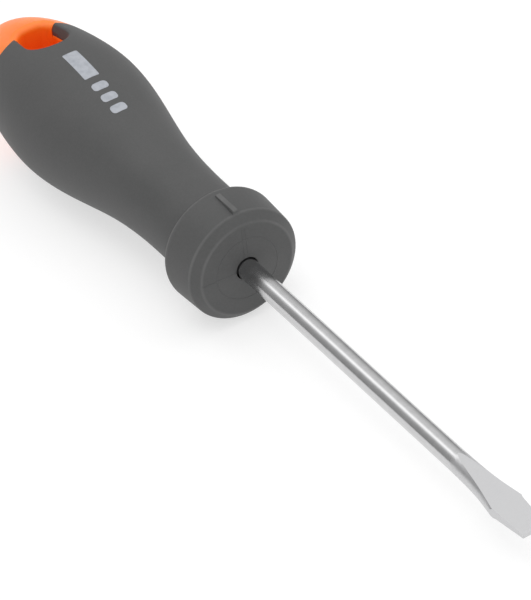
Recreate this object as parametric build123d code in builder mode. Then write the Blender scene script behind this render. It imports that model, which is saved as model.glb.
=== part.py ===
from build123d import *
import os

# A slotted screwdriver: a steel blade moulded into a hard plastic core, which a soft grip covers.
# The origin is the middle of the blade's end face. +X points out of the tip along the tool's axis.
# +Z is square to the two ground flats and runs up through the hanging hole.
# Places along the handle are given as the distance back from the collar's front face.

# ---- driving dimensions, in mm ----
shank_diameter = 5.0
blade_reach = 106.6  # from the blade's end to the collar's front face
tang_length = 62.0  # the part of the blade that is inside the handle
tang_chamfer = 0.6

tip_width = 5.5
tip_thickness = 0.8
flat_length = 26.0  # where the two flats run out into the round shank
flare_width = 7.8
flare_distance = 10.0  # from the blade's end to its widest place
side_length = 8.6  # the ground sides of the tip
side_start_width = 6.7

wing_span = 8.4  # the pressed wings that keep the tang from turning
wing_thickness = 2.4
wing_length = 9.0
wing_distance = 46.0

handle_length = 110.7
neck_diameter = 21.2
neck_distance = 20.8  # where the neck starts to swell
belly_diameter = 34.0
grip_end = 91.6  # the grip stops here, and the core goes on flush with it
grip_wall = 1.8

collar_length = 13.0
collar_back_diameter = 28.5
collar_front_diameter = 27.3
collar_back_radius = 2.4
collar_root_radius = 1.0
face_diameter = 23.2  # the flat front face, inside the chamfer
face_chamfer_length = 2.0
face_edge_radius = 0.5
shank_hole_diameter = 5.6

nose_diameter = 22.0  # the core's flange, inside the collar
nose_distance = 3.0
nose_length = 7.5

rib_width = 1.1
rib_length = 7.4
rib_distance = 2.2
rib_top = 14.5  # above the axis
rib_depth = 1.5  # from its top down into the collar
rib_draft = 14.0

hole_width = 8.8
hole_front_distance = 82.0
hole_back_distance = 93.6
hole_corner_radius = 2.4
hole_edge_radius = 1.4
notch_floor_level = 12.2  # the opening in the grip round the hole, measured this far off the axis
notch_floor_width = 9.1
notch_floor_distance = 81.9
notch_end_distance = 97.6  # past the grip's end, so the notch is open towards the butt
notch_corner_radius = 0.5
notch_draft = 22.0
notch_edge_radius = 0.6

# ---- sizes worked out from them ----
shank_radius = shank_diameter / 2
neck_radius = neck_diameter / 2
belly_radius = belly_diameter / 2
face_x = -blade_reach
tang_end_x = face_x - tang_length
beyond = 30.0  # clear of the whole handle, for cuts that go right through


def back(distance):
    """The x of a place that far behind the collar's front face."""
    return face_x - distance


# The swell of the handle behind the neck, as (distance back, radius).
belly = (73.8, belly_radius)
swell = (
    (42.8, 12.05),
    (58.8, 15.2),
    belly,
    (85.0, 16.1),
    (96.8, 13.5),
    (105.9, 9.3),
)


def handle_section(inset):
    """Half of the handle's lengthwise section behind the collar, pulled in by the inset."""
    neck_front = (back(nose_distance + nose_length), neck_radius - inset)
    neck_back = (back(neck_distance), neck_radius - inset)
    butt = (back(handle_length - inset), 0)
    with BuildSketch() as section:
        with BuildLine():
            swell_points = [(back(distance), radius - inset) for distance, radius in swell]
            Line(neck_front, neck_back)
            Spline(neck_back, *swell_points, butt, tangents=((-1, 0), (0, -1)))
            Polyline(butt, (neck_front[0], 0), neck_front)
        make_face()
    return section.sketch


def arch(width, front_distance, back_distance, corner_radius):
    """An opening seen from above, round at the collar's end and straight at the butt's end."""
    arc_x = back(front_distance) - width / 2
    end_x = back(back_distance)
    with BuildSketch() as outline:
        with Locations(((arc_x + end_x) / 2, 0)):
            Rectangle(arc_x - end_x, width)
        fillet(outline.vertices().group_by(Axis.X)[0], corner_radius)
        with Locations((arc_x, 0)):
            Circle(width / 2)
    return outline.sketch


outer_section = handle_section(0)
inner_section = handle_section(grip_wall)

# ---- blade: round shank, forged and ground tip, winged tang ----
# The forging swells sideways towards the flare, as (distance from the blade's end, width).
forging = (
    (24.0, 5.1),
    (20.0, 5.35),
    (17.0, 5.76),
    (14.0, 6.5),
    (flare_distance, flare_width),
    (-1.0, flare_width + 0.6),
)

with BuildPart() as blade:
    with BuildSketch(Plane.YZ.offset(tang_end_x)):
        Circle(shank_radius)
    extrude(amount=-tang_end_x - flat_length)
    chamfer(blade.edges().sort_by(Axis.X)[0], tang_chamfer)

    with BuildSketch(Plane.YZ.offset(-flat_length)):
        Circle(shank_radius)
    for distance, width in forging:
        with BuildSketch(Plane.YZ.offset(-distance)):
            Ellipse(width / 2, shank_radius)
    loft()

    # the wings pressed out of the tang
    with BuildSketch():
        with Locations((back(wing_distance + wing_length / 2), 0)):
            RectangleRounded(wing_length, wing_span, 1.5)
    extrude(amount=wing_thickness / 2, both=True)

    # the flats, ground to a wedge as thick as the tip at the blade's end
    with BuildSketch(Plane.XZ):
        with BuildLine():
            Polyline(
                (0, tip_thickness / 2),
                (-flat_length, shank_radius),
                (-flat_length, beyond),
                (beyond, beyond),
                (beyond, 0),
                (0, 0),
                close=True,
            )
        make_face()
        mirror(about=Plane.XZ)
    extrude(amount=beyond, both=True, mode=Mode.SUBTRACT)

    # the sides of the tip, ground to its width
    with BuildSketch():
        with BuildLine():
            Polyline(
                (0, tip_width / 2),
                (-side_length, side_start_width / 2),
                (-flare_distance - 0.4, flare_width / 2),
                (-flare_distance - 0.4, beyond),
                (0, beyond),
                close=True,
            )
        make_face()
        mirror(about=Plane.XZ)
    extrude(amount=beyond, both=True, mode=Mode.SUBTRACT)
blade.part.label = "blade"

# ---- handle core: hard plastic round the tang, with the butt and its hanging hole ----
hanging_hole = arch(hole_width, hole_front_distance, hole_back_distance, hole_corner_radius)


def bored_handle(section, side):
    """The handle inside a section, with its hanging hole, on one side of the grip's end."""
    with BuildPart() as bored:
        revolve(section, axis=Axis.X)
        extrude(hanging_hole, amount=beyond, both=True, mode=Mode.SUBTRACT)
        fillet(bored.edges(Select.LAST).filter_by(GeomType.BSPLINE), hole_edge_radius)
        split(bisect_by=Plane.YZ.offset(back(grip_end)), keep=side)
    return bored.part


with BuildPart() as core_body:
    add(bored_handle(outer_section, Keep.BOTTOM))
    add(bored_handle(inner_section, Keep.TOP))
    with BuildSketch(Plane.YZ.offset(back(nose_distance + nose_length))):
        Circle(nose_diameter / 2)
    extrude(amount=nose_length)

with BuildPart() as handle_core:
    add(core_body.part)
    add(blade.part, mode=Mode.SUBTRACT)
handle_core.part.label = "handle_core"

# ---- grip: soft rubber over the core, with the collar and its rib ----
notch_floor = arch(notch_floor_width, notch_floor_distance, notch_end_distance, notch_corner_radius)

with BuildPart() as grip:
    revolve(outer_section, axis=Axis.X)

    # the notch round each mouth of the hanging hole, drafted outwards, with a soft rim
    for side in (Plane.XY, Plane.XY.rotated((180, 0, 0))):
        with BuildSketch(side.offset(notch_floor_level)):
            add(notch_floor)
        extrude(amount=belly_radius - notch_floor_level + 1, taper=-notch_draft, mode=Mode.SUBTRACT)
    outside = grip.faces().sort_by(SortBy.AREA)[-1]
    notch_rims = outside.edges().filter_by_position(Axis.X, back(handle_length), back(belly[0]))
    fillet(notch_rims, notch_edge_radius)
    extrude(notch_floor, amount=notch_floor_level, both=True, mode=Mode.SUBTRACT)

    with BuildSketch():
        with BuildLine():
            outline = FilletPolyline(
                (face_x, 0),
                (face_x, face_diameter / 2),
                (back(face_chamfer_length), collar_front_diameter / 2),
                (back(collar_length), collar_back_diameter / 2),
                (back(collar_length), neck_radius),
                (back(neck_distance), neck_radius),
                radius=(face_edge_radius, face_edge_radius, collar_back_radius, collar_root_radius),
            )
            Polyline(outline @ 1, (back(neck_distance), 0), outline @ 0)
        make_face()
    revolve(axis=Axis.X)
    split(bisect_by=Plane.YZ.offset(back(grip_end)))

    # room for the core and the blade
    add(core_body.part, mode=Mode.SUBTRACT)
    with BuildSketch(Plane.YZ.offset(face_x)):
        Circle(shank_hole_diameter / 2)
    extrude(amount=-nose_distance, mode=Mode.SUBTRACT)

    # the rib along the top of the collar
    with BuildSketch(Plane.XY.offset(rib_top)):
        with Locations((back(rib_distance + rib_length / 2), 0)):
            Rectangle(rib_length, rib_width)
    extrude(amount=-rib_depth, taper=-rib_draft)
grip.part.label = "grip"

os.makedirs("parts", exist_ok=True)
export_step(blade.part, "parts/blade.step")
export_step(handle_core.part, "parts/handle_core.step")
export_step(grip.part, "parts/grip.step")
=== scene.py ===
import math

import bmesh
import bpy
from mathutils import Matrix, Vector
from mathutils.bvhtree import BVHTree


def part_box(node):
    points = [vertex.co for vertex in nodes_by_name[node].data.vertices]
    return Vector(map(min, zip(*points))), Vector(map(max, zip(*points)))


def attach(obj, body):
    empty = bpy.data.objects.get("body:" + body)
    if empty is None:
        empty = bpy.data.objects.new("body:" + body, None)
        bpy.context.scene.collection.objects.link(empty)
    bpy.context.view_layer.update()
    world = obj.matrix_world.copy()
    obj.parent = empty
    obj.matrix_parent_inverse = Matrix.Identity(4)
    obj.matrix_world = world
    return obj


# Looks of the slotted screwdriver: materials, printed marks, moulding marks, studio and camera.
# Everything is in metres, in the CAD frame: the origin is the middle of the blade's end face,
# +X points out of the tip and +Z is square to the ground flats.

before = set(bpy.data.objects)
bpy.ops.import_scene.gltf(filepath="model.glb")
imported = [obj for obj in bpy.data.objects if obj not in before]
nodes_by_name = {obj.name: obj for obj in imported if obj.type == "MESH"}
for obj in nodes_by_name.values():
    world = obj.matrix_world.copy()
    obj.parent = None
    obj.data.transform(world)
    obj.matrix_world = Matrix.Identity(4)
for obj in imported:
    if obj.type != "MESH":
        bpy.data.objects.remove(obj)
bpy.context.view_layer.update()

MM = 0.001
scene = bpy.context.scene
FACE_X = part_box("grip")[1].x  # the collar's front face

# Directions of the moulding seams on the collar's face, in degrees from +Y towards +Z.
SEAM_SIDE = 179
SEAM_TOP = 89


def back(distance_mm):
    """The x of a place that many millimetres behind the collar's front face."""
    return FACE_X - distance_mm * MM


# ---------------------------------------------------------------- node helpers


class Nodes:
    """Short names for building one node tree."""

    def __init__(self, tree):
        self.tree = tree
        tree.nodes.clear()

    def add(self, kind, inputs=None, **settings):
        node = self.tree.nodes.new(kind)
        for name, value in settings.items():
            setattr(node, name, value)
        for name, value in (inputs or {}).items():
            if isinstance(value, bpy.types.NodeSocket):
                self.tree.links.new(value, node.inputs[name])
            else:
                node.inputs[name].default_value = value
        return node

    def math(self, operation, a, b=0.0, c=0.0, clamp=False):
        return self.add(
            "ShaderNodeMath", {0: a, 1: b, 2: c}, operation=operation, use_clamp=clamp
        ).outputs[0]

    def noise(self, vector, scale, detail=3.0, roughness=0.55):
        return self.add(
            "ShaderNodeTexNoise",
            {"Vector": vector, "Scale": scale, "Detail": detail, "Roughness": roughness},
        ).outputs["Fac"]

    def spread(self, value, low, high, to_low, to_high):
        """Map low..high onto to_low..to_high, clamped at both ends."""
        return self.add(
            "ShaderNodeMapRange",
            {
                "Value": value, "From Min": low, "From Max": high,
                "To Min": to_low, "To Max": to_high,
            },
        ).outputs["Result"]

    def mix_colour(self, factor, a, b):
        node = self.add("ShaderNodeMix", data_type="RGBA")
        for index, value in ((0, factor), (6, a), (7, b)):
            if isinstance(value, bpy.types.NodeSocket):
                self.tree.links.new(value, node.inputs[index])
            else:
                node.inputs[index].default_value = value
        return node.outputs[2]

    def stretched(self, vector, scale):
        return self.add(
            "ShaderNodeVectorMath", {0: vector, 1: scale}, operation="MULTIPLY"
        ).outputs[0]

    def bump(self, height, distance, strength=1.0, normal=None):
        inputs = {"Height": height, "Distance": distance, "Strength": strength}
        if normal is not None:
            inputs["Normal"] = normal
        return self.add("ShaderNodeBump", inputs).outputs["Normal"]


def material(name):
    """A new material with its node helper, its object coordinates and an empty surface."""
    made = bpy.data.materials.new(name)
    made.use_nodes = True
    nodes = Nodes(made.node_tree)
    place = nodes.add("ShaderNodeTexCoord").outputs["Object"]
    return made, nodes, place


def surface(nodes, inputs):
    shader = nodes.add("ShaderNodeBsdfPrincipled", inputs)
    nodes.add("ShaderNodeOutputMaterial", {"Surface": shader.outputs[0]})


# ---------------------------------------------------------------- materials


def near_ring(nodes, place, radius_mm, depth_mm, reach_mm):
    """1 on a circle round the tool's axis, falling to 0 that many millimetres away from it."""
    axes = nodes.add("ShaderNodeSeparateXYZ", {"Vector": place}).outputs
    across = nodes.math("MULTIPLY", axes["Y"], axes["Y"])
    off_axis = nodes.math("SQRT", nodes.math("MULTIPLY_ADD", axes["Z"], axes["Z"], across))
    outward = nodes.math("SUBTRACT", off_axis, radius_mm * MM)
    along = nodes.math("SUBTRACT", axes["X"], back(depth_mm))
    square = nodes.math("MULTIPLY_ADD", outward, outward, nodes.math("MULTIPLY", along, along))
    return nodes.spread(nodes.math("SQRT", square), 0.1 * MM, reach_mm * MM, 1.0, 0.0)


def grip_rubber():
    """Dark grey moulded rubber: fine spark-eroded grain, with painted highlights on the collar's
    edges and on the rib's top.
    """
    made, nodes, place = material("grip_rubber")
    cloud = nodes.noise(place, 60.0, 4.0, 0.6)
    speck = nodes.noise(place, 1900.0, 2.0, 0.7)
    tone = nodes.math("MULTIPLY_ADD", speck, 0.35, nodes.math("MULTIPLY", cloud, 0.65))
    body = nodes.mix_colour(
        nodes.spread(tone, 0.35, 0.65, 0.0, 1.0), (0.076, 0.077, 0.077, 1), (0.094, 0.094, 0.094, 1)
    )
    # Painted highlights: pale rings on the collar's front edges and back rim, and a paler top on
    # the rib, where light catches them.
    edges = 0.0
    for radius_mm, depth_mm, reach_mm in ((11.6, 0.0, 0.5), (13.65, 2.0, 0.5), (14.0, 11.8, 0.8)):
        edges = nodes.math("ADD", edges, near_ring(nodes, place, radius_mm, depth_mm, reach_mm))
    axes = nodes.add("ShaderNodeSeparateXYZ", {"Vector": place}).outputs
    rib_top_highlight = nodes.math(
        "MULTIPLY",
        nodes.spread(axes["Z"], 14.15 * MM, 14.4 * MM, 0.0, 1.3),
        nodes.spread(axes["X"], back(12.0), back(11.0), 0.0, 1.0),
    )
    edges = nodes.math("ADD", edges, rib_top_highlight)
    painted_highlight = nodes.math("MULTIPLY", edges, nodes.spread(cloud, 0.3, 0.7, 0.25, 0.75), clamp=True)
    # The painted highlight colour: the rubber turns pale grey wherever the highlight mask is set.
    colour = nodes.mix_colour(painted_highlight, body, (0.150, 0.150, 0.149, 1))
    grain = nodes.noise(place, 2600.0, 3.0, 0.65)
    flow = nodes.noise(nodes.stretched(place, (0.35, 1.0, 1.0)), 220.0, 2.0)
    fine = nodes.bump(grain, 0.000028, 0.55)
    relief = nodes.bump(flow, 0.00004, 0.35, fine)
    surface(nodes, {
        "Base Color": colour,
        "Roughness": nodes.spread(cloud, 0.3, 0.7, 0.56, 0.66),
        "Specular IOR Level": 0.4,
        "Normal": relief,
    })
    return made


def core_plastic():
    """Orange moulded plastic: bright pigment, slightly translucent, with painted shade in the seam
    and deep in the hanging hole, and a painted glow.
    """
    made, nodes, place = material("core_plastic")
    cloud = nodes.noise(place, 90.0, 3.0)
    fresh = nodes.mix_colour(
        nodes.spread(cloud, 0.35, 0.65, 0.0, 1.0), (0.93, 0.20, 0.012, 1), (0.96, 0.235, 0.018, 1)
    )
    # Painted shade: the orange turns near-black brown in the narrow seam where it meets the grip.
    crevice = nodes.add(
        "ShaderNodeAmbientOcclusion", {"Distance": 0.9 * MM}, samples=8
    ).outputs["AO"]
    seam_unshaded = nodes.spread(crevice, 0.25, 0.75, 0.0, 1.0)
    # Painted shade: the orange darkens to deep red far inside the hanging hole.
    hollow = nodes.add(
        "ShaderNodeAmbientOcclusion", {"Distance": 9.0 * MM}, samples=8
    ).outputs["AO"]
    open_air = nodes.spread(hollow, 0.18, 0.85, 0.0, 1.0)
    painted_hole_shade = nodes.mix_colour(open_air, (0.66, 0.028, 0.001, 1), fresh)
    colour = nodes.mix_colour(seam_unshaded, (0.10, 0.022, 0.008, 1), painted_hole_shade)
    skin = nodes.noise(place, 1500.0, 3.0, 0.6)
    swirl = nodes.noise(nodes.stretched(place, (0.4, 1.0, 1.0)), 150.0, 2.0)
    relief = nodes.bump(swirl, 0.00005, 0.3, nodes.bump(skin, 0.000012, 0.5))
    # Painted glow: the orange gives off a little light of its own, more on open surfaces, less deep
    # in the hole, none in the seam.
    painted_glow_colour = nodes.mix_colour(open_air, (0.02, 0.0, 0.0, 1), (0.14, 0.012, 0.0, 1))
    glow = nodes.mix_colour(seam_unshaded, (0.0, 0.0, 0.0, 1), painted_glow_colour)
    surface(nodes, {
        "Base Color": colour,
        "Roughness": nodes.spread(skin, 0.3, 0.7, 0.38, 0.48),
        "Specular IOR Level": 0.5,
        "Coat Weight": 0.25,
        "Coat Roughness": 0.4,
        "Subsurface Weight": 0.15,
        "Subsurface Radius": (0.004, 0.0010, 0.0002),
        "Subsurface Scale": 0.6,
        "Emission Color": glow,
        "Emission Strength": 1.0,
        "Normal": relief,
    })
    return made


def blade_steel():
    """Satin plated steel on the shank, and a bare, finely ground tip."""
    made, nodes, place = material("blade_steel")
    x = nodes.add("ShaderNodeSeparateXYZ", {"Vector": place}).outputs["X"]
    wander = nodes.noise(place, 900.0, 2.0)
    edge = nodes.math("MULTIPLY_ADD", wander, 0.0012, x)
    ground = nodes.spread(edge, -0.0262, -0.0240, 0.0, 1.0)
    lines = nodes.noise(nodes.stretched(place, (16000.0, 900.0, 900.0)), 1.0, 3.0, 0.7)
    drawn = nodes.noise(nodes.stretched(place, (200.0, 6500.0, 6500.0)), 1.0, 2.0, 0.6)
    mottle = nodes.noise(place, 420.0, 3.0)
    marks = nodes.mix_colour(ground, drawn, lines)
    plated = nodes.mix_colour(
        nodes.spread(mottle, 0.3, 0.7, 0.0, 1.0), (0.55, 0.55, 0.555, 1), (0.60, 0.60, 0.605, 1)
    )
    bare = nodes.mix_colour(
        nodes.spread(lines, 0.3, 0.7, 0.0, 1.0), (0.565, 0.565, 0.573, 1), (0.615, 0.615, 0.623, 1)
    )
    polish = nodes.spread(mottle, 0.3, 0.7, 0.17, 0.23)
    stone = nodes.spread(lines, 0.3, 0.7, 0.36, 0.44)
    surface(nodes, {
        "Base Color": nodes.mix_colour(ground, plated, bare),
        "Metallic": 1.0,
        "Roughness": nodes.math(
            "MULTIPLY_ADD", nodes.math("SUBTRACT", stone, polish), ground, polish
        ),
        "Normal": nodes.bump(marks, 0.000004, nodes.spread(ground, 0.0, 1.0, 0.10, 0.30)),
    })
    return made


def print_ink():
    """Pale grey pad-printed ink, thin enough to show the rubber's grain."""
    made, nodes, place = material("print_ink")
    grain = nodes.noise(place, 2600.0, 3.0, 0.65)
    patch = nodes.noise(place, 700.0, 3.0, 0.6)
    colour = nodes.mix_colour(
        nodes.spread(patch, 0.30, 0.62, 0.0, 1.0), (0.36, 0.38, 0.42, 1), (0.45, 0.47, 0.51, 1)
    )
    surface(nodes, {
        "Base Color": colour,
        "Roughness": nodes.spread(grain, 0.3, 0.7, 0.45, 0.6),
        "Specular IOR Level": 0.4,
        "Normal": nodes.bump(grain, 0.000024, 0.5),
    })
    return made


def floor_card():
    """Pale matt card, lit from inside like a light table, with a faint paper tooth."""
    made, nodes, place = material("floor_card")
    tooth = nodes.noise(place, 900.0, 2.0)
    colour = nodes.mix_colour(tooth, (0.44, 0.44, 0.44, 1), (0.47, 0.47, 0.47, 1))
    surface(nodes, {
        "Base Color": colour,
        "Roughness": 0.9,
        "Specular IOR Level": 0.1,
        "Emission Color": (1.0, 1.0, 1.0, 1),
        "Emission Strength": 0.60,
        "Normal": nodes.bump(tooth, 0.00002, 0.2),
    })
    return made


def dress(piece, made):
    piece.data.materials.clear()
    piece.data.materials.append(made)


RUBBER = grip_rubber()
dress(nodes_by_name["grip"], RUBBER)
dress(nodes_by_name["handle_core"], core_plastic())
dress(nodes_by_name["blade"], blade_steel())


# ---------------------------------------------------------------- pieces


def new_piece(name, mesh, made):
    piece = bpy.data.objects.new(name, mesh)
    scene.collection.objects.link(piece)
    dress(piece, made)
    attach(piece, "root")
    return piece


def rounded_outline(length, width, corner, steps=8):
    """Corners of a flat rounded rectangle, centred, anticlockwise."""
    points = []
    for index, (sx, sy) in enumerate(((1, 1), (-1, 1), (-1, -1), (1, -1))):
        centre = Vector((sx * (length / 2 - corner), sy * (width / 2 - corner), 0))
        for step in range(steps + 1):
            angle = (index + step / steps) * math.pi / 2
            points.append(centre + corner * Vector((math.cos(angle), math.sin(angle), 0)))
    return points


def printed_mark(name, x_front_mm, x_back_mm, width_mm, corner_mm, grip_tree, ink):
    """A thin film of ink with a rounded outline, wrapped over the top of the grip."""
    length = (x_front_mm - x_back_mm) * MM
    centre = Vector(((x_front_mm + x_back_mm) / 2 * MM, 0, 0))
    bm = bmesh.new()
    outline = rounded_outline(length, width_mm * MM, corner_mm * MM)
    bm.faces.new([bm.verts.new(centre + point) for point in outline])
    pitch = 0.35 * MM
    for axis, span in ((Vector((1, 0, 0)), length), (Vector((0, 1, 0)), width_mm * MM)):
        count = int(span / pitch)
        for step in range(1, count):
            place = centre + axis * (step / count - 0.5) * span
            everything = bm.verts[:] + bm.edges[:] + bm.faces[:]
            bmesh.ops.bisect_plane(
                bm, geom=everything, dist=1e-7, plane_co=place, plane_no=axis
            )
    film = 0.03 * MM
    down = Vector((0, 0, -1))
    for vert in bm.verts:
        above = Vector((vert.co.x, vert.co.y, 50 * MM))
        hit, normal, _, _ = grip_tree.ray_cast(above, down)
        vert.co = hit + normal * film
    bm.normal_update()
    bmesh.ops.solidify(bm, geom=bm.faces[:], thickness=2 * film)
    bmesh.ops.recalc_face_normals(bm, faces=bm.faces[:])
    mesh = bpy.data.meshes.new(name)
    bm.to_mesh(mesh)
    bm.free()
    mesh.polygons.foreach_set("use_smooth", [False] * len(mesh.polygons))
    return new_piece(name, mesh, ink)


def face_ridge(name, points, closed, half_width):
    """A fine raised moulding line on the collar's face, following points given as (y, z) in mm."""
    bm = bmesh.new()
    sides = 12
    turns = [k * 2 * math.pi / sides for k in range(sides)]
    height = half_width * 0.6
    section = [(math.cos(turn) * half_width, math.sin(turn) * height) for turn in turns]
    path = [Vector((FACE_X, y * MM, z * MM)) for y, z in points]
    count = len(path)
    rings = []
    for index, place in enumerate(path):
        ahead = path[(index + 1) % count] if closed or index + 1 < count else place
        behind = path[index - 1] if closed or index > 0 else place
        side = (ahead - behind).normalized().cross(Vector((1, 0, 0)))
        rings.append([bm.verts.new(place + side * u + Vector((v, 0, 0))) for u, v in section])
    for index in range(count if closed else count - 1):
        a, b = rings[index], rings[(index + 1) % count]
        for k in range(sides):
            bm.faces.new((a[k], a[(k + 1) % sides], b[(k + 1) % sides], b[k]))
    if not closed:
        bm.faces.new(rings[0])
        bm.faces.new(rings[-1])
    bmesh.ops.recalc_face_normals(bm, faces=bm.faces[:])
    mesh = bpy.data.meshes.new(name)
    bm.to_mesh(mesh)
    bm.free()
    mesh.polygons.foreach_set("use_smooth", [True] * len(mesh.polygons))
    return new_piece(name, mesh, RUBBER)


def polar(radius_mm, degrees):
    return radius_mm * math.cos(math.radians(degrees)), radius_mm * math.sin(math.radians(degrees))


INK = print_ink()
GRIP_TREE = BVHTree.FromObject(nodes_by_name["grip"], bpy.context.evaluated_depsgraph_get())
printed_mark("print_block", -170.4, -180.9, 3.8, 0.35, GRIP_TREE, INK)
for number, (front, rear, width) in enumerate(
    ((-165.8, -168.2, 3.9), (-161.8, -164.2, 3.9), (-157.8, -160.2, 3.9)), start=1
):
    printed_mark(f"print_bar_{number}", front, rear, width, 0.9, GRIP_TREE, INK)

face_ridge("mould_ring", [polar(7.7, 3 * step) for step in range(120)], True, 0.09 * MM)
face_ridge("mould_seam_low", [polar(r / 2, SEAM_SIDE) for r in range(6, 24)], False, 0.10 * MM)
for number, shift in enumerate((-0.45, 0.45), start=1):
    face_ridge(
        f"mould_seam_top_{number}",
        [(polar(r / 2, SEAM_TOP)[0] + shift, polar(r / 2, SEAM_TOP)[1]) for r in range(7, 22)],
        False, 0.07 * MM,
    )

# ---------------------------------------------------------------- studio and camera


def add_floor():
    """A card that the tool lies on, touching its belly and its collar."""
    belly_x, belly_r = back(73.8), 17.0 * MM
    collar_x, collar_r = back(10.6), 14.2 * MM
    tilt = math.asin((belly_r - collar_r) / (collar_x - belly_x))
    up = Vector((-math.sin(tilt), 0, math.cos(tilt)))
    contact = Vector((belly_x, 0, 0)) - up * (belly_r + 0.0002)
    mesh = bpy.data.meshes.new("floor")
    size = 3.0
    along = Vector((math.cos(tilt), 0, math.sin(tilt)))
    across = Vector((0, 1, 0))
    corners = [
        contact + along * a * size + across * b * size
        for a, b in ((-1, -1), (1, -1), (1, 1), (-1, 1))
    ]
    mesh.from_pydata(corners, [], [(0, 1, 2, 3)])
    floor = bpy.data.objects.new("floor", mesh)
    scene.collection.objects.link(floor)
    dress(floor, floor_card())


# Soft lights of the studio's ceiling: the direction each stands in, how tight it is, brightness.
LAMPS = (
    ((0, 1, 1), 4.0, 1.05),
    ((0, 0, 1), 4.0, 0.40),
    ((1, 0, 1), 4.0, 0.45),
    ((-1, 0, 1), 4.0, 0.45),
    ((0, -1, 0.25), 4.0, 0.42),
)
ROOM_LEVEL = 0.18
STRIP_DEGREES, STRIP_SPREAD, STRIP_LEVEL = 104, 10, 1.05  # a long light over the tool


def add_room():
    """A plain pale room with soft lights and one long overhead strip along the tool."""
    world = bpy.data.worlds.new("room")
    world.use_nodes = True
    scene.world = world
    nodes = Nodes(world.node_tree)
    ray = nodes.add("ShaderNodeTexCoord").outputs["Generated"]
    way = nodes.add("ShaderNodeVectorMath", {0: ray}, operation="NORMALIZE").outputs[0]
    total = ROOM_LEVEL
    for direction, tightness, level in LAMPS:
        toward = tuple(Vector(direction).normalized())
        facing = nodes.add(
            "ShaderNodeVectorMath", {0: way, 1: toward}, operation="DOT_PRODUCT"
        ).outputs["Value"]
        glow = nodes.math("POWER", nodes.math("MAXIMUM", facing, 0.0), tightness)
        total = nodes.math("MULTIPLY_ADD", glow, level, total)
    axes = nodes.add("ShaderNodeSeparateXYZ", {"Vector": way}).outputs
    turn = nodes.math("ARCTAN2", axes["Z"], axes["Y"])
    aside = nodes.math("SUBTRACT", turn, math.radians(STRIP_DEGREES))
    off = nodes.math("DIVIDE", aside, math.radians(STRIP_SPREAD))
    strip = nodes.math("EXPONENT", nodes.math("MULTIPLY", nodes.math("MULTIPLY", off, off), -0.5))
    total = nodes.math("MULTIPLY_ADD", strip, STRIP_LEVEL, total)
    background = nodes.add("ShaderNodeBackground", {"Color": total, "Strength": 1.0})
    nodes.add("ShaderNodeOutputWorld", {"Surface": background.outputs[0]})


def add_camera():
    """The photograph's viewpoint, about 0.75 m from the collar."""
    data = bpy.data.cameras.new("camera")
    data.sensor_fit = "VERTICAL"
    data.sensor_height = 36.0
    data.lens = 209.2
    camera = bpy.data.objects.new("camera", data)
    scene.collection.objects.link(camera)
    forward = Vector((-0.69384, 0.36550, -0.62049)).normalized()
    up = Vector((-0.48814, 0.39476, 0.77838))
    right = forward.cross(up).normalized()
    up = right.cross(forward)
    pose = Matrix((right, up, -forward)).transposed().to_4x4()
    pose.translation = Vector((0.4225, -0.2753, 0.4626))
    camera.matrix_world = pose
    scene.camera = camera


add_floor()
add_room()
add_camera()
scene.view_settings.view_transform = "Standard"
